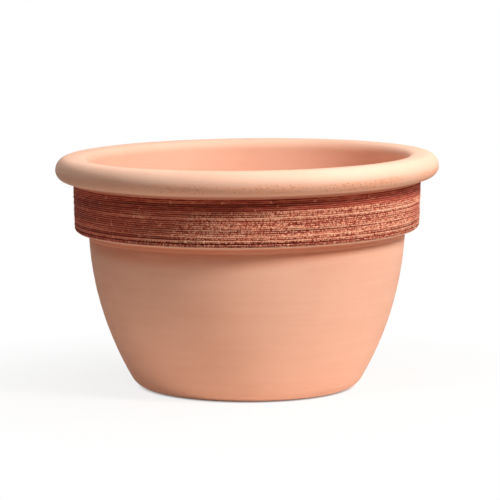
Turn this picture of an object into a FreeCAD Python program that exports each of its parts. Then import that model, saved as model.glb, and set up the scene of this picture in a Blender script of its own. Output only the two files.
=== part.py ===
import FreeCAD, Part
import math
import os

# Low terracotta planter with a rolled rim and a combed band under it.
# It is built up as a potter builds a large pot: a foot slab, a bowl wall, a neck
# ring lapped round the wall's top edge, a strip of coarse clay combed on the
# wheel, and a coil rolled over the neck's tongue.
# Millimetres. The origin is the centre of the face the pot rests on, +Z is up.

# Overall sizes
pot_height = 243.5
rim_radius = 200.0
foot_radius = 114.8

# Rolled rim: drops are measured down from its crown
rim_width = 33.0
crown_width = 16.5
crown_round = 60.0
outer_roll_round = 13.0
inner_roll_round = 9.0
underside_drop = 24.6
collar_round = 3.4
collar_height = 3.9
rim_seam_drop = 21.5

# Neck ring
neck_thickness = 9.0
tongue_thickness = 5.5
tongue_height = 8.0
tongue_bevel = 1.5
ledge_round = 1.2
cove_round = 5.0
cove_lip = 0.8

# Combed band
band_thickness = 5.4
band_taper = 1.4
band_height = 48.2
band_foot_round = 2.6
band_margin = 1.2
comb_teeth = 14
comb_depth = 1.1
comb_uneven_share = 0.3
comb_wander = 2.4

# Bowl wall
wall_thickness = 12.5
wall_bulge = 10.8
neck_step = 1.8
shoulder_height = 36.0
shoulder_seam_share = 0.5

# Foot slab
slab_thickness = 16.0
foot_round = 20.5
inner_round = 14.0
scarf_rise = 19.0
foot_ring_width = 14.7
recess_depth = 2.5
drain_radius = 13.0

# Film of dried slip between luted pieces
slip_film = 0.2

# Radii that several pieces share
mouth_radius = rim_radius - rim_width
neck_radius = mouth_radius + neck_thickness
tongue_radius = neck_radius - tongue_thickness
belly_radius = mouth_radius - neck_step
band_top_radius = neck_radius + band_thickness
band_foot_radius = band_top_radius - band_taper

# Heights that several pieces share
rim_seam = pot_height - rim_seam_drop
tongue_top = rim_seam + tongue_height
underside = pot_height - underside_drop
collar_foot = underside - collar_height
ledge_top = collar_foot - band_height
ledge_foot = ledge_top - ledge_round
lap_foot = ledge_foot - cove_round
lap_seam = lap_foot + shoulder_height * shoulder_seam_share


def at(radius, height):
    """Point of a half section, by its distance from the axis and its height."""
    return FreeCAD.Vector(radius, 0, height)


def other_leg(longest, leg):
    """Third side of a right triangle."""
    return math.sqrt(longest ** 2 - leg ** 2)


def between(start, end, share):
    return start.add(end.sub(start).multiply(share))


def path(*points):
    """Straight edges through the points in turn."""
    return [Part.LineSegment(start, end).toShape() for start, end in zip(points, points[1:])]


def arc(centre, start, end):
    """The shorter arc from start to end about a centre."""
    bisector = between(start, end, 0.5).sub(centre).normalize()
    middle = centre.add(bisector.multiply(start.distanceToPoint(centre)))
    return Part.Arc(start, middle, end).toShape()


def turned(edges):
    """Solid that a closed half section sweeps in one turn of the wheel."""
    section = Part.Face(Part.Wire(Part.__sortEdges__(edges)))
    full_turn = 360
    return section.revolve(at(0, 0), FreeCAD.Vector(0, 0, 1), full_turn)


def bow_circle(low, high, bulge):
    """Centre and radius of the circle that bulges out from the chord between two points."""
    chord = high.sub(low)
    radius = ((chord.Length / 2) ** 2 + bulge ** 2) / (2 * bulge)
    outward = FreeCAD.Vector(chord.z, 0, -chord.x).normalize()
    return between(low, high, 0.5).add(outward.multiply(bulge - radius)), radius


bow_centre, bow_radius = bow_circle(at(foot_radius, 0), at(belly_radius, lap_foot), wall_bulge)


def on_wall(height, depth):
    """Point of the bowed wall at a height, the given depth inside its outer side."""
    run = other_leg(bow_radius - depth, height - bow_centre.z)
    return at(bow_centre.x + run, height)


def floor_round(height, depth, round_radius):
    """Centre, floor end and wall end of the arc that joins a level floor to the wall."""
    rise = height + round_radius - bow_centre.z
    run = other_leg(bow_radius - depth - round_radius, rise)
    centre = at(bow_centre.x + run, height + round_radius)
    outward = centre.sub(bow_centre).normalize().multiply(round_radius)
    return centre, centre.sub(at(0, round_radius)), centre.add(outward)


def scarf_ends():
    """Outer and inner end of the seam between the foot slab's edge and the wall."""
    _, _, outer = floor_round(0, 0, foot_round)
    return outer, on_wall(outer.z + scarf_rise, wall_thickness)


def foot_slab():
    """Slab with a rounded corner, a recess below, a drain hole and a pinched-up edge."""
    scarf_outer, scarf_inner = scarf_ends()
    corner_centre, corner_foot, corner_end = floor_round(0, 0, foot_round)
    inside_centre, floor_end, wall_end = floor_round(slab_thickness, wall_thickness, inner_round)
    ring_inner = corner_foot.sub(at(foot_ring_width, 0))
    edges = path(
        floor_end,
        at(drain_radius, slab_thickness),
        at(drain_radius, recess_depth),
        ring_inner.add(at(-recess_depth, recess_depth)),
        ring_inner,
        corner_foot,
    )
    edges.append(arc(corner_centre, corner_foot, corner_end))
    edges += path(scarf_outer, scarf_inner)
    edges.append(arc(bow_centre, wall_end, scarf_inner))
    edges.append(arc(inside_centre, wall_end, floor_end))
    return turned(edges)


def shoulder_point(share):
    """Point of the slope that carries the bowl's inner side out to the mouth."""
    start = on_wall(lap_foot, wall_thickness)
    return between(start, at(mouth_radius, lap_foot + shoulder_height), share)


def bowl_wall():
    """Bowed wall from the foot's scarf up to the seat inside the neck's lap."""
    scarf_outer, scarf_inner = scarf_ends()
    foot_outer = on_wall(scarf_outer.z + slip_film, 0)
    foot_inner = on_wall(scarf_inner.z + slip_film, wall_thickness)
    inner_top = shoulder_point(0)
    seat = shoulder_point(shoulder_seam_share)
    edges = [arc(bow_centre, foot_outer, at(belly_radius, lap_foot))]
    edges += path(at(belly_radius, lap_foot), at(belly_radius, lap_seam), seat, inner_top)
    edges.append(arc(bow_centre, foot_inner, inner_top))
    edges += path(foot_inner, foot_outer)
    return turned(edges)


def neck_ring():
    """Ring lapped outside the bowl's top edge, with a ledge below and a tongue above."""
    lap_radius = belly_radius + slip_film
    cove_start = at(lap_radius + cove_lip, lap_foot)
    cove_centre = at(cove_start.x + cove_round, lap_foot)
    cove_end = at(cove_centre.x, ledge_foot)
    ledge_end = at(band_foot_radius - band_foot_round, ledge_top)
    ledge_centre = ledge_end.sub(at(ledge_round, 0))
    ledge_start = at(ledge_centre.x, ledge_foot)
    edges = [arc(cove_centre, cove_start, cove_end)]
    edges += path(cove_end, ledge_start)
    edges.append(arc(ledge_centre, ledge_start, ledge_end))
    edges += path(
        ledge_end,
        at(neck_radius, ledge_top),
        at(neck_radius, tongue_top - tongue_bevel),
        at(neck_radius - tongue_bevel, tongue_top),
        at(tongue_radius + tongue_bevel, tongue_top),
        at(tongue_radius, tongue_top - tongue_bevel),
        at(tongue_radius, rim_seam),
        at(mouth_radius, rim_seam),
        shoulder_point(1),
        shoulder_point(shoulder_seam_share),
        at(lap_radius, lap_seam),
        at(lap_radius, lap_foot),
        cove_start,
    )
    return turned(edges)


def combed_band():
    """Strip of coarse clay on the ledge, with a V pressed in by each tooth of the comb.

    The hand presses unevenly, so the depth swells and fades from tooth to tooth.
    """
    back_radius = neck_radius + slip_film
    band_top = collar_foot - slip_film
    comb_foot = ledge_top + band_foot_round
    pitch = (band_top - band_margin - comb_foot) / comb_teeth

    def face(height, depth):
        lean = band_taper * (height - ledge_top) / band_height
        return at(band_foot_radius + lean - depth, height)

    corner_end = face(comb_foot, 0)
    corner_centre = corner_end.sub(at(band_foot_round, 0))
    corner_start = corner_centre.sub(at(0, band_foot_round))
    edges = path(at(back_radius, band_top), at(back_radius, ledge_top), corner_start)
    edges.append(arc(corner_centre, corner_start, corner_end))
    outline = [corner_end]
    for tooth in range(comb_teeth):
        foot = comb_foot + pitch * tooth
        press = comb_depth * (1 + comb_uneven_share * math.sin(comb_wander * tooth))
        outline += [face(foot + pitch / 2, press), face(foot + pitch, 0)]
    outline += [face(band_top, 0), at(back_radius, band_top)]
    return turned(edges + path(*outline))


def rolled_rim():
    """Rolled coil whose groove sits on the neck's tongue and whose collar hangs outside."""
    crown_centre = at(rim_radius - crown_width, pot_height - crown_round)
    inner_x = mouth_radius + inner_roll_round
    inner_rise = other_leg(crown_round - inner_roll_round, crown_centre.x - inner_x)
    inner_centre = at(inner_x, crown_centre.z + inner_rise)
    outer_x = rim_radius - outer_roll_round
    outer_rise = other_leg(crown_round - outer_roll_round, outer_x - crown_centre.x)
    outer_centre = at(outer_x, crown_centre.z + outer_rise)
    throat = at(mouth_radius, inner_centre.z)
    side = at(rim_radius, outer_centre.z)
    inner_crown = between(crown_centre, inner_centre, crown_round / (crown_round - inner_roll_round))
    outer_crown = between(crown_centre, outer_centre, crown_round / (crown_round - outer_roll_round))
    lower_round = side.z - underside
    lower_centre = at(rim_radius - lower_round, side.z)
    belly = at(lower_centre.x, underside)
    sweep_start = at(band_top_radius + collar_round, underside)
    sweep_end = at(band_top_radius, underside - collar_round)
    sweep_centre = at(sweep_start.x, sweep_end.z)
    groove_outer = neck_radius + slip_film
    groove_inner = tongue_radius - slip_film
    groove_top = tongue_top + slip_film
    edges = [
        arc(inner_centre, throat, inner_crown),
        arc(crown_centre, inner_crown, outer_crown),
        arc(outer_centre, outer_crown, side),
        arc(lower_centre, side, belly),
        arc(sweep_centre, sweep_start, sweep_end),
    ]
    edges += path(belly, sweep_start)
    edges += path(
        sweep_end,
        at(band_top_radius, collar_foot),
        at(groove_outer, collar_foot),
        at(groove_outer, groove_top - tongue_bevel),
        at(groove_outer - tongue_bevel, groove_top),
        at(groove_inner + tongue_bevel, groove_top),
        at(groove_inner, groove_top - tongue_bevel),
        at(groove_inner, rim_seam),
        at(mouth_radius, rim_seam),
        throat,
    )
    return turned(edges)


pieces = {
    "foot_slab": foot_slab,
    "bowl_wall": bowl_wall,
    "neck_ring": neck_ring,
    "combed_band": combed_band,
    "rolled_rim": rolled_rim,
}

os.makedirs("parts", exist_ok=True)
for name, make in pieces.items():
    make().exportStep("parts/" + name + ".step")
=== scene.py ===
import math

import bmesh
import bpy
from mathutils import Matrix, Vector, noise


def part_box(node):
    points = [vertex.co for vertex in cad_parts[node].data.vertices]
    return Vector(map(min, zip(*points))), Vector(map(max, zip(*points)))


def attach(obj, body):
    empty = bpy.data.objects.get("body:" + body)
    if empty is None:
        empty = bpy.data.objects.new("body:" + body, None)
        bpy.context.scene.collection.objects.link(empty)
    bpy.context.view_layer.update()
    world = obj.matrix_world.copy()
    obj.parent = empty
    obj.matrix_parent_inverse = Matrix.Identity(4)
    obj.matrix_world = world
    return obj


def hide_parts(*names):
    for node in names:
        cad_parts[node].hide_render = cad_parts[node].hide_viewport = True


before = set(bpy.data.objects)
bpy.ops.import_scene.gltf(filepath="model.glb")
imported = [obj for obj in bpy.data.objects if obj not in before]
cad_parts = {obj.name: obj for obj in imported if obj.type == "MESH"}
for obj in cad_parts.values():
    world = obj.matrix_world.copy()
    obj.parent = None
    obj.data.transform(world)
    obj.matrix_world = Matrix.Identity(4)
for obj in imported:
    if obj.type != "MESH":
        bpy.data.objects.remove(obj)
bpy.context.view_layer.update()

# A terracotta planter in five pieces of clay, luted wet and fired as one. Metres.
# A place on a half section is its distance from the axis and its height.


def extent(node):
    """Outer radius, foot and top of a piece of the frame."""
    low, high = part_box(node)
    return high.x, low.z, high.z


# Sizes that the frame gives
rim_radius, collar_foot, pot_height = extent("rolled_rim")
band_radius, ledge_top, _ = extent("combed_band")
_, lap_foot, tongue_top = extent("neck_ring")
belly_radius, _, lap_seam = extent("bowl_wall")
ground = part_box("foot_slab")[0].z

# Rolled rim
rim_width = 0.033
crown_width = 0.0165
crown_round = 0.060
outer_roll_round = 0.013
inner_roll_round = 0.009
underside = 0.2189
collar_round = 0.0034
rim_seam = 0.222
mouth_radius = rim_radius - rim_width

# The rim's pale top, down to an edge that wanders round its side, is partly wiped clay and partly
# painted sheen
# The rim's side and lower lip keep part of that pale as painted bounce light from the floor
wiped_edge = 0.2305
edge_wander = 0.0012
edge_fade_down = 0.0012
edge_fade_up = 0.0016
edge_step = 0.00018
edge_step_width = 0.0009
side_pale_loss = 0.45
throat_width = 0.008
underside_fade = 0.001
collar_shade_end = 0.0003

# Below that edge the rim's side is rough
side_start = rim_radius - 0.014
side_full = rim_radius - 0.008
rough_foot = underside + 0.0005
rough_foot_full = underside + 0.003
rough_edge_blur = 0.001
rough_scale = 420
rough_angle = 0.9
rim_pit_depth = 0.00045
sponge_depth = 0.00012

# Neck ring
neck_radius = 0.176
tongue_radius = 0.1705
tongue_bevel = 0.0015
ledge_round = 0.0012
cove_round = 0.005
cove_lip = 0.001
feather_drop = 0.002

# Combed band
band_taper = 0.0014
band_foot_round = 0.0026
band_foot_radius = band_radius - band_taper
face_start = neck_radius + 0.0004
face_full = neck_radius + 0.0016
face_top_margin = 0.0004

# The comb's lines, and those that came out deeper, fainter or prouder, counted from the foot
teeth = 22
rows_per_tooth = 2
press = 0.0010
deep_shares = {0: 1.9, 2: 1.8, 6: 1.3, 8: 1.2, 11: 1.3, 16: 1.25, 18: 1.15}
faint_shares = {1: 0.6, 4: 0.6, 12: 0.6, 20: 0.6}
proud_ridges = {1: 0.0003, 3: 0.0002, 6: 0.0002, 12: 0.0002}
ridge_sway = 0.0003
line_drift = 0.0003
comb_foot = ledge_top + band_foot_round
comb_pitch = (collar_foot - comb_foot) / teeth
first_tooth = comb_foot + comb_pitch / 2

# The comb tore the drying clay right of the front, on the lit side, where its paler colour is
# partly painted light
torn_and_lit_angle = math.radians(34)
crumb_size = 0.0011
crumb_depth = 0.0009
chip_depth = 0.0003
torn_pit_depth = 0.0009
bite_depth = 0.0006
bite_height = 0.004
bite_end = 0.0095
grit_depth = 0.00012
stuck_height = 0.0008

# The strip's ends meet in a joint that leans round the pot
joint_angle = math.radians(38.5)
joint_rise = 0.037
joint_slope = math.radians(6) / joint_rise
joint_width = 0.0011
joint_wander = 0.0030
crack_depth = 0.0011

# Bowl wall
wall_thickness = 0.0125
wall_bulge = 0.0108
shoulder_height = 0.036
foot_radius = 0.1148
inner_skin = 0.003

# Painted shade: darker, redder clay under the ledge, where the band's shadow falls; the ledge's
# edge is painted pale as a highlight, and the inside is paler by half
band_shade_drop = 0.028
band_shade_side = math.radians(23)
band_shade_fade = 0.004
ledge_highlight_reach = 0.003
ledge_highlight_full = 0.001
pale_inside = 0.5

# Foot slab
slab_thickness = 0.016
foot_round = 0.0205
inner_round = 0.014
scarf_rise = 0.019
foot_ring_width = 0.0147
recess_depth = 0.0025
drain_radius = 0.013
drain_wear = 0.0012
finger_ring_depth = 0.00035
finger_ring_rate = 620

# Columns round each piece, in sectors that are spun once and then copied
sectors = 24
smooth_columns = sectors * 30
rim_columns = sectors * 48
band_columns = sectors * 78
weld = 1e-6
crease = math.radians(40)

# How the hand and the kiln left the pot: its upper half leans up to the right
lean = 0.0125
lean_foot = 0.03
lean_top = 0.16
oval_share = 0.0011
oval_phase = 0.7
lobe_share = 0.0006
lobe_phase = 2.1
throwing_depth = 0.00012

# Fine relief of the two clays; the comb's depth is handed to its finish in millimetres
smooth_relief = 0.00022
combed_relief = 0.0008
millimetre = 0.001


def smooth_step(low, high, value):
    """0 below low, 1 above high and a soft S between them."""
    share = min(max((value - low) / (high - low), 0), 1)
    return share * share * (3 - 2 * share)


def patches(place, low, high, offset=(0, 0, 0)):
    """Soft patches of noise: 0 where it lies below low and 1 where it lies above high."""
    return smooth_step(low, high, noise.noise(place + Vector(offset)))


def level_streaks(place, across, up):
    """Noise in level streaks, by its scale across the pot and up it."""
    return noise.noise(Vector((place.x * across, place.y * across, place.z * up)))


def angle_round(place):
    """Angle round the pot, from the front to the right."""
    return math.atan2(place.x, -place.y)


def away_from_axis(place):
    """Level direction out from the pot's axis."""
    return Vector((place.x, place.y, 0)).normalized()


class Section:
    """Half section of a piece, drawn as a chain of straight runs and arcs."""

    def __init__(self, radius, height):
        self.mesh = bmesh.new()
        self.tip = self.mesh.verts.new((radius, 0, height))

    def run(self, radius, height, steps=1):
        """Straight run to a point, in equal steps."""
        stride = (Vector((radius, 0, height)) - self.tip.co) / steps
        for _ in range(steps):
            place = self.tip.co + stride
            self.tip = bmesh.ops.extrude_vert_indiv(self.mesh, verts=[self.tip])["verts"][0]
            self.tip.co = place

    def bend(self, centre, end, steps):
        """Arc to a point about a centre, the shorter way round."""
        pivot = Vector((centre[0], 0, centre[1]))
        turn = (self.tip.co - pivot).xz.angle_signed(Vector(end) - Vector(centre))
        made = bmesh.ops.spin(
            self.mesh, geom=[self.tip], cent=pivot, axis=(0, 1, 0), angle=turn, steps=steps
        )
        self.tip = made["geom_last"][0]
        self.tip.co = (end[0], 0, end[1])


def settle(place):
    """Where the wheel, the hand and the kiln left a point of the pot."""
    angle = angle_round(place)
    ripple = level_streaks(place, 7, 140)
    radius = math.hypot(place.x, place.y)
    oval = oval_share * math.sin(2 * angle + oval_phase)
    lobes = lobe_share * math.sin(3 * angle + lobe_phase)
    share = 1 + (oval + lobes) + throwing_depth * ripple / max(radius, drain_radius)
    lift = lean * place.x * smooth_step(lean_foot, lean_top, place.z)
    return Vector((place.x * share, place.y * share, place.z + lift))


def throw(name, section, columns, relief):
    """Object of the closed ring that a section sweeps in one turn.

    relief is a function that marks the mesh and moves its vertices.
    """
    mesh = section.mesh
    sector = math.tau / sectors
    about = {"cent": (0, 0, 0), "axis": (0, 0, 1)}
    chain = mesh.verts[:] + mesh.edges[:]
    bmesh.ops.spin(mesh, geom=chain, angle=sector, steps=columns // sectors, **about)
    wedge = mesh.verts[:] + mesh.edges[:] + mesh.faces[:]
    bmesh.ops.spin(
        mesh, geom=wedge, angle=math.tau - sector, steps=sectors - 1, use_duplicate=True, **about
    )
    bmesh.ops.remove_doubles(mesh, verts=mesh.verts[:], dist=weld)
    bmesh.ops.recalc_face_normals(mesh, faces=mesh.faces[:])
    for edge in mesh.edges:
        edge.smooth = edge.calc_face_angle() < crease
    for face in mesh.faces:
        face.smooth = True
    relief(mesh)
    for vertex in mesh.verts:
        vertex.co = settle(vertex.co)
    data = bpy.data.meshes.new(name)
    mesh.to_mesh(data)
    mesh.free()
    piece = bpy.data.objects.new(name, data)
    bpy.context.scene.collection.objects.link(piece)
    return piece


def bow_circle():
    """Centre and radius of the wall's outer arc, from the foot's edge up to the lap's foot."""
    low = Vector((foot_radius, ground))
    high = Vector((belly_radius, lap_foot))
    chord = high - low
    radius = ((chord.length / 2) ** 2 + wall_bulge ** 2) / (2 * wall_bulge)
    outward = Vector((chord.y, -chord.x)).normalized()
    return (low + high) / 2 + outward * (wall_bulge - radius), radius


bow_centre, bow_radius = bow_circle()


def on_wall(height, depth):
    """Point of the bowed wall at a height, a depth inside its outer side."""
    run = math.sqrt((bow_radius - depth) ** 2 - (height - bow_centre.y) ** 2)
    return bow_centre.x + run, height


def floor_round(height, depth, round_radius):
    """Centre, floor end and wall end of the arc that joins a level floor to the wall."""
    rise = height + round_radius - bow_centre.y
    run = math.sqrt((bow_radius - depth - round_radius) ** 2 - rise ** 2)
    centre = Vector((bow_centre.x + run, height + round_radius))
    outward = (centre - bow_centre).normalized() * round_radius
    return centre, centre - Vector((0, round_radius)), centre + outward


corner_centre, corner_foot, scarf_outer = floor_round(ground, 0, foot_round)
inside_centre, floor_end, inside_end = floor_round(slab_thickness, wall_thickness, inner_round)
scarf_inner = on_wall(scarf_outer.y + scarf_rise, wall_thickness)


def shoulder_point(share):
    """Point of the slope that carries the bowl's inner side out to the mouth."""
    start = Vector(on_wall(lap_foot, wall_thickness))
    return start.lerp(Vector((mouth_radius, lap_foot + shoulder_height)), share)


def inside_clay(place):
    """Whether a point lies on the inner side of the clay: the foot's, the wall's or the neck's."""
    if place.z < lap_foot:
        limit = on_wall(place.z, wall_thickness / 2)[0]
    else:
        share = min((place.z - lap_foot) / shoulder_height, 1)
        limit = shoulder_point(share).x + inner_skin
    return place.xy.length < limit and place.z > slab_thickness / 2


def mark_wall(mesh):
    """Marks the inside, which fired a little paler, the ledge's edge painted pale as a highlight,
    and the painted shade under the band.

    The painted shade reaches furthest down left of the front, where the band's shadow is longest.
    """
    pale_and_painted_light = mesh.verts.layers.float.new("pale_and_painted_light")
    painted_shade = mesh.verts.layers.float.new("painted_shade")
    for vertex in mesh.verts:
        place = vertex.co
        inside = inside_clay(place)
        # Painted highlight: the ledge's edge, which faces the lit floor, is painted pale
        ledge_highlight = smooth_step(ledge_top - ledge_highlight_reach, ledge_top - ledge_highlight_full, place.z)
        vertex[pale_and_painted_light] = pale_inside if inside else ledge_highlight
        # Painted shade under the band, longest down left of the front, where the band's shadow is
        # longest
        facing = max(0, math.cos(angle_round(place) + band_shade_side))
        drop = band_shade_drop * (0.25 + 0.75 * facing ** 2)
        under = smooth_step(lap_foot - drop, lap_foot, place.z)
        under *= 1 - smooth_step(ledge_top - band_shade_fade, ledge_top - ledge_highlight_full, place.z)
        vertex[painted_shade] = under * (1 - inside)


def mark_foot(mesh):
    """Marks the clay, and presses the wheel's finger rings into the floor inside."""
    mark_wall(mesh)
    for vertex in mesh.verts:
        radius = vertex.co.xy.length
        inside = smooth_step(slab_thickness - drain_wear, slab_thickness, vertex.co.z)
        clear = smooth_step(drain_radius, drain_radius * 2, radius)
        clear *= 1 - smooth_step(floor_end.x - inner_round, floor_end.x, radius)
        ring = math.sin(radius * finger_ring_rate + 2 * noise.noise(vertex.co * 30))
        vertex.co.z += finger_ring_depth * ring * inside * clear


def make_foot():
    """Slab with its rounded corner, the recess below, the drain hole and the pinched-up edge."""
    ring_inner = corner_foot.x - foot_ring_width
    worn_radius = drain_radius + drain_wear
    drain_top = slab_thickness - drain_wear
    drain_foot = recess_depth + drain_wear
    section = Section(floor_end.x, slab_thickness)
    section.run(worn_radius, slab_thickness, 40)
    section.bend((worn_radius, drain_top), (drain_radius, drain_top), 4)
    section.run(drain_radius, drain_foot, 4)
    section.bend((worn_radius, drain_foot), (worn_radius, recess_depth), 4)
    section.run(ring_inner - recess_depth, recess_depth, 20)
    section.run(ring_inner, ground, 2)
    section.run(corner_foot.x, ground, 4)
    section.bend(corner_centre, scarf_outer, 14)
    section.run(*scarf_inner, 2)
    section.bend(bow_centre, inside_end, 5)
    section.bend(inside_centre, floor_end, 8)
    return throw("foot", section, smooth_columns, mark_foot)


def make_bowl():
    """Bowed wall from the foot's scarf up to the seat inside the neck's lap."""
    section = Section(*scarf_outer)
    section.bend(bow_centre, (belly_radius, lap_foot), 52)
    section.run(belly_radius, lap_seam, 4)
    section.run(*shoulder_point(0.5), 2)
    section.run(*shoulder_point(0), 6)
    section.bend(bow_centre, scarf_inner, 44)
    section.run(*scarf_outer)
    return throw("bowl", section, smooth_columns, mark_wall)


def run_over_tongue(section, steps):
    """Run up the neck's outer side, over its tongue and along the rim's seam to the mouth."""
    section.run(neck_radius, tongue_top - tongue_bevel, steps)
    section.run(neck_radius - tongue_bevel, tongue_top)
    section.run(tongue_radius + tongue_bevel, tongue_top)
    section.run(tongue_radius, tongue_top - tongue_bevel)
    section.run(tongue_radius, rim_seam)
    section.run(mouth_radius, rim_seam)


def make_neck():
    """Ring lapped outside the bowl's top edge, with a ledge below and a tongue above."""
    cove_centre = (belly_radius + cove_lip + cove_round, lap_foot)
    ledge_foot = ledge_top - ledge_round
    ledge_end = band_foot_radius - band_foot_round
    section = Section(belly_radius, lap_foot - feather_drop)
    section.run(belly_radius + cove_lip, lap_foot, 2)
    section.bend(cove_centre, (cove_centre[0], ledge_foot), 8)
    section.run(ledge_end - ledge_round, ledge_foot, 3)
    section.bend((ledge_end - ledge_round, ledge_top), (ledge_end, ledge_top), 4)
    section.run(neck_radius, ledge_top)
    run_over_tongue(section, 4)
    section.run(*shoulder_point(1), 10)
    section.run(*shoulder_point(0.5), 7)
    section.run(belly_radius, lap_seam)
    section.run(belly_radius, lap_foot - feather_drop, 2)
    return throw("neck", section, smooth_columns, mark_wall)


def wear_rim(mesh):
    """Pits and sponge marks of the rim's side, its pale top, partly wiped clay and partly painted
    light, and the collar's painted shade.
    """
    pale_and_painted_light = mesh.verts.layers.float.new("pale_and_painted_light")
    painted_shade = mesh.verts.layers.float.new("painted_shade")
    pitted = mesh.verts.layers.float.new("pitted")
    for vertex in mesh.verts:
        place = vertex.co.copy()
        radius = place.xy.length
        side = smooth_step(side_start, side_full, radius)
        edge = wiped_edge + edge_wander * noise.noise(place * 25)
        below_edge = 1 - smooth_step(edge - edge_fade_down, edge + edge_fade_up, place.z)
        throat = 1 - smooth_step(mouth_radius, mouth_radius + throat_width, radius)
        above_collar = smooth_step(underside - underside_fade, underside, place.z)
        # Partly painted light: full pale on the top as sheen, less on the side and lip as the
        # floor's bounce
        pale = (1 - side_pale_loss * side * below_edge) * above_collar
        vertex[pale_and_painted_light] = pale + (pale_inside - pale) * throat
        # Painted shade: the collar, deep under the rim, takes the darker red
        collar_shade_top = underside - collar_shade_end
        vertex[painted_shade] = 1 - smooth_step(underside - collar_round, collar_shade_top, place.z)
        low_side = side * smooth_step(rough_foot, rough_foot_full, place.z)
        low_side *= 1 - smooth_step(edge - rough_edge_blur, edge + rough_edge_blur, place.z)
        crowd = patches(place * 22, -0.6, 0.3, (3, 1, 4))
        facing = 0.5 + 0.5 * math.cos(angle_round(place) - rough_angle)
        pits = low_side * crowd * facing
        vertex[pitted] = pits
        pit = rim_pit_depth * pits * patches(place * rough_scale, 0.45, 0.65, (9, 2, 5))
        sponge = sponge_depth * noise.noise(place * rough_scale) * low_side
        step = edge_step * math.exp(-((place.z - edge) / edge_step_width) ** 2) * side
        vertex.co -= away_from_axis(place) * (pit + sponge + step)


def make_rim():
    """Coil rolled over the neck's tongue, with a short collar on the band's top edge."""
    crown = Vector((rim_radius - crown_width, pot_height - crown_round))
    inner_x = mouth_radius + inner_roll_round
    inner_rise = math.sqrt((crown_round - inner_roll_round) ** 2 - (crown.x - inner_x) ** 2)
    inner = Vector((inner_x, crown.y + inner_rise))
    outer_x = rim_radius - outer_roll_round
    outer_rise = math.sqrt((crown_round - outer_roll_round) ** 2 - (outer_x - crown.x) ** 2)
    outer = Vector((outer_x, crown.y + outer_rise))
    inner_crown = crown + (inner - crown).normalized() * crown_round
    outer_crown = crown + (outer - crown).normalized() * crown_round
    lower_round = outer.y - underside
    lower = Vector((rim_radius - lower_round, outer.y))
    sweep = Vector((band_radius + collar_round, underside - collar_round))
    section = Section(mouth_radius, rim_seam)
    section.run(mouth_radius, inner.y, 5)
    section.bend(inner, inner_crown, 9)
    section.bend(crown, outer_crown, 9)
    section.bend(outer, (rim_radius, outer.y), 9)
    section.bend(lower, (lower.x, underside), 20)
    section.run(sweep.x, underside, 3)
    section.bend(sweep, (band_radius, sweep.y), 5)
    section.run(band_radius, collar_foot)
    section.run(neck_radius, collar_foot)
    run_over_tongue(section, 2)
    return throw("rim", section, rim_columns, wear_rim)


def tooth_depth(tooth, angle):
    """How deep one tooth of the comb went in at an angle round the band."""
    share = deep_shares.get(tooth, 1) * faint_shares.get(tooth, 1)
    ring = Vector((math.sin(angle) * 1.6, math.cos(angle) * 1.6, tooth * 3.7))
    return press * share * (1 + 0.6 * noise.noise(ring) + 0.4 * noise.noise(ring * 9))


def torn_and_lit_share(place, angle):
    """How far the comb tore the drying clay, 0 on smooth lines to 1 where it crumbled; partly
    painted light on the lit right and painted rim shadow at the top.
    """
    # Real tearing and painted light: the share grows toward the lit right of the front
    facing = 0.5 + 0.5 * math.cos(angle - torn_and_lit_angle)
    patch = noise.noise(place * 19) + 0.5 * noise.noise(place * 47)
    height = (place.z - ledge_top) / (collar_foot - ledge_top)
    # Painted shadow: the top quarter, in the rim's shadow, stays smooth and dark
    under_rim_shadow = smooth_step(0.70, 0.82, height)
    foot_tear = 0.45 * (1 - smooth_step(0.06, 0.16, height)) * smooth_step(0.45, 0.8, facing)
    share = 0.95 * facing ** 1.5 + 0.35 * patch - 0.75 * under_rim_shadow + foot_tear
    return smooth_step(0.3, 0.85, share)


def comb_depth(place, angle, torn_and_lit):
    """Depth of the comb's lines, and of the ridges that crumbled between them."""
    step = (place.z - first_tooth) / comb_pitch
    tooth, ridge = round(step), math.floor(step)
    top = min(1, 2 * abs(step - tooth))
    flat = Vector((place.x, place.y, 0))
    sway = ridge_sway * noise.noise(flat * 11 + Vector((0, 0, ridge * 9.1)))
    proud = proud_ridges.get(ridge, 0) + sway
    crumb = patches(flat / crumb_size, -0.15, 0.35, (0, 0, ridge * 2.7))
    chip = patches(flat / crumb_size * 0.4, 0.15, 0.5, (0, 0, ridge * 1.3))
    bridge = patches(flat / crumb_size, 0.1, 0.45, (0, 0, tooth * 5.1))
    bridge *= 0 if deep_shares.get(tooth, 1) > 1.5 else 0.4
    groove = tooth_depth(tooth, angle) * (1 - top) * (1 - torn_and_lit * bridge)
    loose = 0.6 if ridge in proud_ridges else 1
    broken = loose * torn_and_lit * top * (crumb_depth * crumb + chip_depth * chip)
    return groove + broken - top * proud


def joint_depth(place, angle):
    """Depth of the crack where the strip's ends meet."""
    joint = joint_angle + joint_slope * (collar_foot - place.z)
    wander = joint_wander * noise.noise(Vector((0, 0, place.z * 260)))
    apart = abs((angle - joint) * place.xy.length - wander) / joint_width
    return crack_depth * max(0, 1 - apart) * patches(place * 190, -0.1, 0.3)


def grit_relief(place, torn_and_lit):
    """Depth of pits, grit and the bitten lower edge, less the height of crumbs stuck on."""
    pit = torn_and_lit * torn_pit_depth * patches(place * 400, 0.54, 0.66, (5, 2, 9))
    grit = grit_depth * noise.noise(place * 900)
    near_foot = 1 - smooth_step(bite_height, bite_end, place.z - ledge_top)
    bite = near_foot * torn_and_lit * bite_depth * patches(place / crumb_size * 0.8, -0.1, 0.5)
    stuck = stuck_height * patches(place * 300, 0.52, 0.66, (40, 7, 1))
    return pit + grit + bite - stuck


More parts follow.
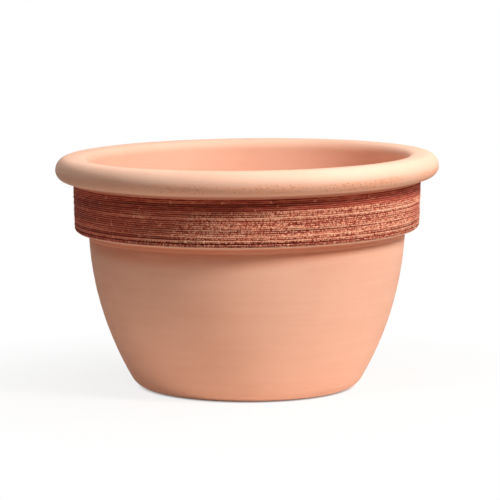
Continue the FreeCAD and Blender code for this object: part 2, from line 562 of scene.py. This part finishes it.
def comb_marks(mesh):
    """Grooves, tears, crumbs and the strip's joint, pressed into the band's face."""
    hollow = mesh.verts.layers.float.new("hollow")
    torn_and_lit_mark = mesh.verts.layers.float.new("torn_and_lit")
    for vertex in mesh.verts:
        place = vertex.co.copy()
        on_face = smooth_step(face_start, face_full, place.xy.length)
        on_face *= 1 - smooth_step(collar_foot - face_top_margin, collar_foot, place.z)
        if not on_face:
            continue
        angle = angle_round(place)
        torn_and_lit = torn_and_lit_share(place, angle)
        depth = comb_depth(place, angle, torn_and_lit) + joint_depth(place, angle)
        depth += grit_relief(place, torn_and_lit)
        vertex[hollow] = depth / millimetre
        vertex[torn_and_lit_mark] = torn_and_lit
        vertex.co -= away_from_axis(place) * depth * on_face
        vertex.co.z += line_drift * level_streaks(place, 9, 90) * on_face


def make_band():
    """Strip of coarse dark clay, combed on the turning wheel."""
    corner_share = (comb_foot - ledge_top) / (collar_foot - ledge_top)
    corner_radius = band_foot_radius + band_taper * corner_share
    corner = (corner_radius - band_foot_round, comb_foot)
    section = Section(neck_radius, ledge_top)
    section.run(corner[0], ledge_top)
    section.bend(corner, (corner_radius, comb_foot), 4)
    section.run(band_radius, collar_foot, rows_per_tooth * teeth)
    section.run(neck_radius, collar_foot)
    section.run(neck_radius, ledge_top)
    return throw("band", section, band_columns, comb_marks)


def colour(red, green, blue):
    return (red, green, blue, 1)


white = colour(1, 1, 1)
pale_clay = colour(0.93, 0.56, 0.40)


class Finish:
    """Node material, with short calls for the nodes it is mixed from."""

    def __init__(self, name):
        self.material = bpy.data.materials.new(name)
        self.material.use_nodes = True
        self.tree = self.material.node_tree
        self.shader = self.tree.nodes["Principled BSDF"]
        self.place = self.add("ShaderNodeTexCoord").outputs["Object"]

    def add(self, kind, sockets=None, **settings):
        """New node with its settings, and with values or links on its sockets."""
        node = self.tree.nodes.new(kind)
        for name, value in settings.items():
            setattr(node, name, value)
        for socket, value in (sockets or {}).items():
            self.put(node.inputs[socket], value)
        return node

    def put(self, socket, value):
        """Link, or plain value, on a socket."""
        if isinstance(value, bpy.types.NodeSocket):
            self.tree.links.new(value, socket)
        else:
            socket.default_value = value

    def grain(self, scale, detail, stretch=(1, 1, 1)):
        """Noise on the clay, from about 0.3 to 0.7; stretch packs it closer along an axis."""
        moved = self.add("ShaderNodeMapping", {"Vector": self.place, "Scale": stretch})
        return self.add("ShaderNodeTexNoise", {
            "Vector": moved.outputs["Vector"], "Scale": scale, "Detail": detail, "Roughness": 0.55,
        }).outputs["Fac"]

    def dots(self, scale):
        """Scattered dots: the distance to the nearest one's middle, and its own chance value."""
        node = self.add("ShaderNodeTexVoronoi", {"Vector": self.place, "Scale": scale})
        return node.outputs["Distance"], node.outputs["Color"]

    def mark(self, name):
        """A mark that the piece carries point by point."""
        return self.add("ShaderNodeAttribute", attribute_name=name).outputs["Fac"]

    def spread(self, value, low, high, to_low=0.0, to_high=1.0):
        """Stretches low..high to a new range and holds it there."""
        return self.add("ShaderNodeMapRange", {
            "Value": value, "From Min": low, "From Max": high, "To Min": to_low, "To Max": to_high,
        }).outputs["Result"]

    def work(self, operation, first, second):
        """Sum, product or other working of two values."""
        return self.add("ShaderNodeMath", {0: first, 1: second}, operation=operation).outputs[0]

    def mix(self, share, first, second):
        """Colour between two others."""
        sockets = {0: share, 6: first, 7: second}
        return self.add("ShaderNodeMix", sockets, data_type="RGBA").outputs[2]

    def tint(self, body, mark, strength, second):
        """Body colour with a second colour laid over it where a mark is."""
        return self.mix(self.work("MULTIPLY", mark, strength), body, second)

    def surface(self, body, rough, height, depth):
        """The material, once colour, roughness and a fine relief of a depth are on its shader."""
        self.put(self.shader.inputs["Base Color"], body)
        self.put(self.shader.inputs["Roughness"], rough)
        bump = self.add("ShaderNodeBump", {"Height": height, "Distance": depth, "Strength": 1.0})
        self.put(self.shader.inputs["Normal"], bump.outputs["Normal"])
        return self.material


def smooth_clay():
    """Fired terracotta: clouds from the kiln, wheel streaks, grog, pits with darker clay, painted
    shade, and a pale mark that is partly painted light.
    """
    finish = Finish("smooth terracotta")
    clouds = finish.spread(finish.grain(11, 4), 0.35, 0.65)
    streaks = finish.spread(finish.grain(9, 5, (1, 1, 14)), 0.3, 0.7)
    outside = finish.mix(clouds, colour(0.80, 0.41, 0.272), colour(0.85, 0.46, 0.315))
    # The pale colour: the inside's own, a painted highlight on the ledge's edge, and on the rim
    # partly painted sheen
    pale_and_highlight = finish.mix(clouds, pale_clay, colour(0.96, 0.62, 0.45))
    body = finish.mix(finish.mark("pale_and_painted_light"), outside, pale_and_highlight)
    # Painted shade: a darker red under the band, and on the collar under the rim
    body = finish.tint(body, finish.mark("painted_shade"), 0.95, colour(0.70, 0.22, 0.11))
    body = finish.tint(body, streaks, 0.3, pale_clay)
    grog = finish.spread(finish.grain(1500, 2), 0.35, 0.7)
    body = finish.tint(body, grog, 0.10, colour(0.62, 0.28, 0.18))
    distance, _ = finish.dots(210.0)
    few = finish.spread(distance, 0.08, 0.03)
    body = finish.tint(body, few, 0.3, colour(0.55, 0.25, 0.17))
    distance, chance = finish.dots(460.0)
    reach = finish.work("SUBTRACT", finish.mark("pitted"), chance)
    reach = finish.spread(reach, -0.2, 0.5, 0.0, 0.42)
    speck = finish.spread(finish.work("SUBTRACT", reach, distance), 0.0, 0.1)
    mottle = finish.spread(finish.grain(420, 2), 0.40, 0.60, 0.3, 1.0)
    body = finish.tint(body, mottle, finish.mark("pitted"), colour(0.93, 0.45, 0.27))
    body = finish.tint(body, speck, 0.6, colour(0.62, 0.20, 0.10))
    rough = finish.spread(finish.grain(90, 4), 0.3, 0.7, 0.68, 0.82)
    wheel_lines = finish.grain(60, 4, (1, 1, 22))
    lines = finish.work("ADD", wheel_lines, finish.work("MULTIPLY", finish.grain(1300, 3), 0.35))
    return finish.surface(body, rough, lines, smooth_relief)


def combed_clay():
    """Coarse dark clay: red brown in the comb's lines, rubbed pale on its ridges."""
    finish = Finish("combed terracotta")
    fine = finish.grain(1000, 2, (1, 1, 1.5))
    lines = finish.grain(100, 3, (1, 1, 9))
    torn_and_lit = finish.mark("torn_and_lit")
    swing = finish.spread(fine, 0.3, 0.7, -0.6, 0.6)
    grains = finish.work("MULTIPLY", swing, finish.spread(torn_and_lit, 0, 1, 0.3, 1))
    hollow = finish.work("ADD", finish.mark("hollow"), grains)
    hollow = finish.work("ADD", hollow, finish.spread(lines, 0.3, 0.7, -0.25, 0.25))
    hollow = finish.work("SUBTRACT", hollow, finish.work("MULTIPLY", torn_and_lit, 0.17))
    # Torn clay is paler: partly real tearing, partly painted light on the lit right, with the rim's
    # painted shadow across the untorn top
    ridge = finish.mix(torn_and_lit, colour(0.95, 0.34, 0.20), colour(0.97, 0.56, 0.36))
    flank = finish.mix(torn_and_lit, colour(0.68, 0.12, 0.06), colour(0.88, 0.28, 0.15))
    deep = finish.mix(torn_and_lit, colour(0.36, 0.042, 0.020), colour(0.30, 0.036, 0.016))
    body = finish.mix(finish.spread(hollow, -0.1, 0.3), ridge, flank)
    body = finish.mix(finish.spread(hollow, 0.32, 0.7), body, deep)
    rough = finish.spread(fine, 0.3, 0.7, 0.78, 0.92)
    height = finish.work("ADD", fine, finish.work("MULTIPLY", lines, 1.4))
    return finish.surface(body, rough, height, combed_relief)


# The pot
foot, bowl, neck, band, rim = make_foot(), make_bowl(), make_neck(), make_band(), make_rim()
plain, combed = smooth_clay(), combed_clay()
nodes = {
    foot: "foot_slab",
    bowl: "bowl_wall",
    neck: "neck_ring",
    band: "combed_band",
    rim: "rolled_rim",
}
for piece, node in nodes.items():
    piece.data.materials.append(combed if piece is band else plain)
    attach(piece, "root")
    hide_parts(node)

# The studio
floor_radius = 0.45
fade_start = 0.15
fade_end = 0.9 * floor_radius
near_glow = 0.84
fill_colour = colour(1.0, 0.5, 0.35)
fill_level = 0.07
lamp_aim = Vector((0, 0, 0.15))

# The camera, as it was fitted to the photo's outline of the pot
camera_distance = 3.062
camera_height = 0.5278
camera_dip = 7.174
sensor_width = 36
lens = 212.18
shift_right = 0.0061


def seen_directly(tree):
    """1 on rays from the camera, in a reflection or through glass."""
    path = tree.nodes.new("ShaderNodeLightPath")
    total = path.outputs["Is Camera Ray"]
    for name in ("Is Glossy Ray", "Is Transmission Ray"):
        add = tree.nodes.new("ShaderNodeMath")
        add.operation = "MAXIMUM"
        tree.links.new(total, add.inputs[0])
        tree.links.new(path.outputs[name], add.inputs[1])
        total = add.outputs[0]
    return total


def make_floor():
    """Pale round floor that fades into the white behind it and keeps the pot's shadow.

    It does not glow under the foot.
    """
    mesh = bmesh.new()
    bmesh.ops.create_circle(mesh, cap_ends=True, radius=floor_radius, segments=96)
    data = bpy.data.meshes.new("floor")
    mesh.to_mesh(data)
    mesh.free()
    floor = bpy.data.objects.new("floor", data)
    bpy.context.scene.collection.objects.link(floor)
    finish = Finish("pale floor")
    tree = finish.tree
    tree.nodes.remove(finish.shader)
    glow = finish.add("ShaderNodeEmission", {"Color": white, "Strength": 1.0})
    length = finish.add("ShaderNodeVectorMath", {0: finish.place}, operation="LENGTH")
    reach = length.outputs["Value"]
    diffuse = finish.add("ShaderNodeBsdfDiffuse", {"Color": colour(0.93, 0.87, 0.80)})
    fade = finish.spread(reach, fade_start, fade_end, near_glow, 1.0)
    clear = finish.spread(reach, 0.9 * foot_radius, foot_radius)
    share = finish.work("MULTIPLY", seen_directly(tree), finish.work("MULTIPLY", fade, clear))
    mixed = finish.add("ShaderNodeMixShader", {0: share, 1: diffuse.outputs[0], 2: glow.outputs[0]})
    finish.put(tree.nodes["Material Output"].inputs["Surface"], mixed.outputs[0])
    data.materials.append(finish.material)


def make_world():
    """White behind everything, and a soft warm fill on the pot."""
    world = bpy.data.worlds.new("studio")
    bpy.context.scene.world = world
    world.use_nodes = True
    tree = world.node_tree
    fill = tree.nodes["Background"]
    fill.inputs["Color"].default_value = fill_colour
    fill.inputs["Strength"].default_value = fill_level
    backdrop = tree.nodes.new("ShaderNodeBackground")
    backdrop.inputs["Color"].default_value = white
    backdrop.inputs["Strength"].default_value = 1
    mixed = tree.nodes.new("ShaderNodeMixShader")
    tree.links.new(seen_directly(tree), mixed.inputs[0])
    tree.links.new(fill.outputs[0], mixed.inputs[1])
    tree.links.new(backdrop.outputs[0], mixed.inputs[2])
    tree.links.new(mixed.outputs[0], tree.nodes["World Output"].inputs["Surface"])


def make_lamp(name, azimuth, height, distance, size, power):
    """Soft square lamp that faces the pot, placed by degrees round from the front and up."""
    turn, rise = math.radians(azimuth), math.radians(height)
    level = math.cos(rise)
    away = Vector((math.sin(turn) * level, -math.cos(turn) * level, math.sin(rise)))
    data = bpy.data.lights.new(name, "AREA")
    data.size = size
    data.energy = power
    lamp = bpy.data.objects.new(name, data)
    lamp.location = lamp_aim + away * distance
    lamp.rotation_euler = (-away).to_track_quat("-Z", "Y").to_euler()
    bpy.context.scene.collection.objects.link(lamp)


make_floor()
make_world()
make_lamp("key", 48, 40, 1.8, 0.4, 29.5)
make_lamp("front", -32, 50, 2.0, 0.8, 8)
make_lamp("overhead", 0, 90, 1.6, 1.4, 5)
make_lamp("side", 95, 36, 2.0, 1.0, 8.5)

camera_data = bpy.data.cameras.new("camera")
camera_data.sensor_width = sensor_width
camera_data.lens = lens
camera_data.shift_x = shift_right
camera = bpy.data.objects.new("camera", camera_data)
camera.location = (0, -camera_distance, camera_height)
camera.rotation_euler = (math.radians(90 - camera_dip), 0, 0)
bpy.context.scene.collection.objects.link(camera)
bpy.context.scene.camera = camera
bpy.context.scene.view_settings.view_transform = "Standard"
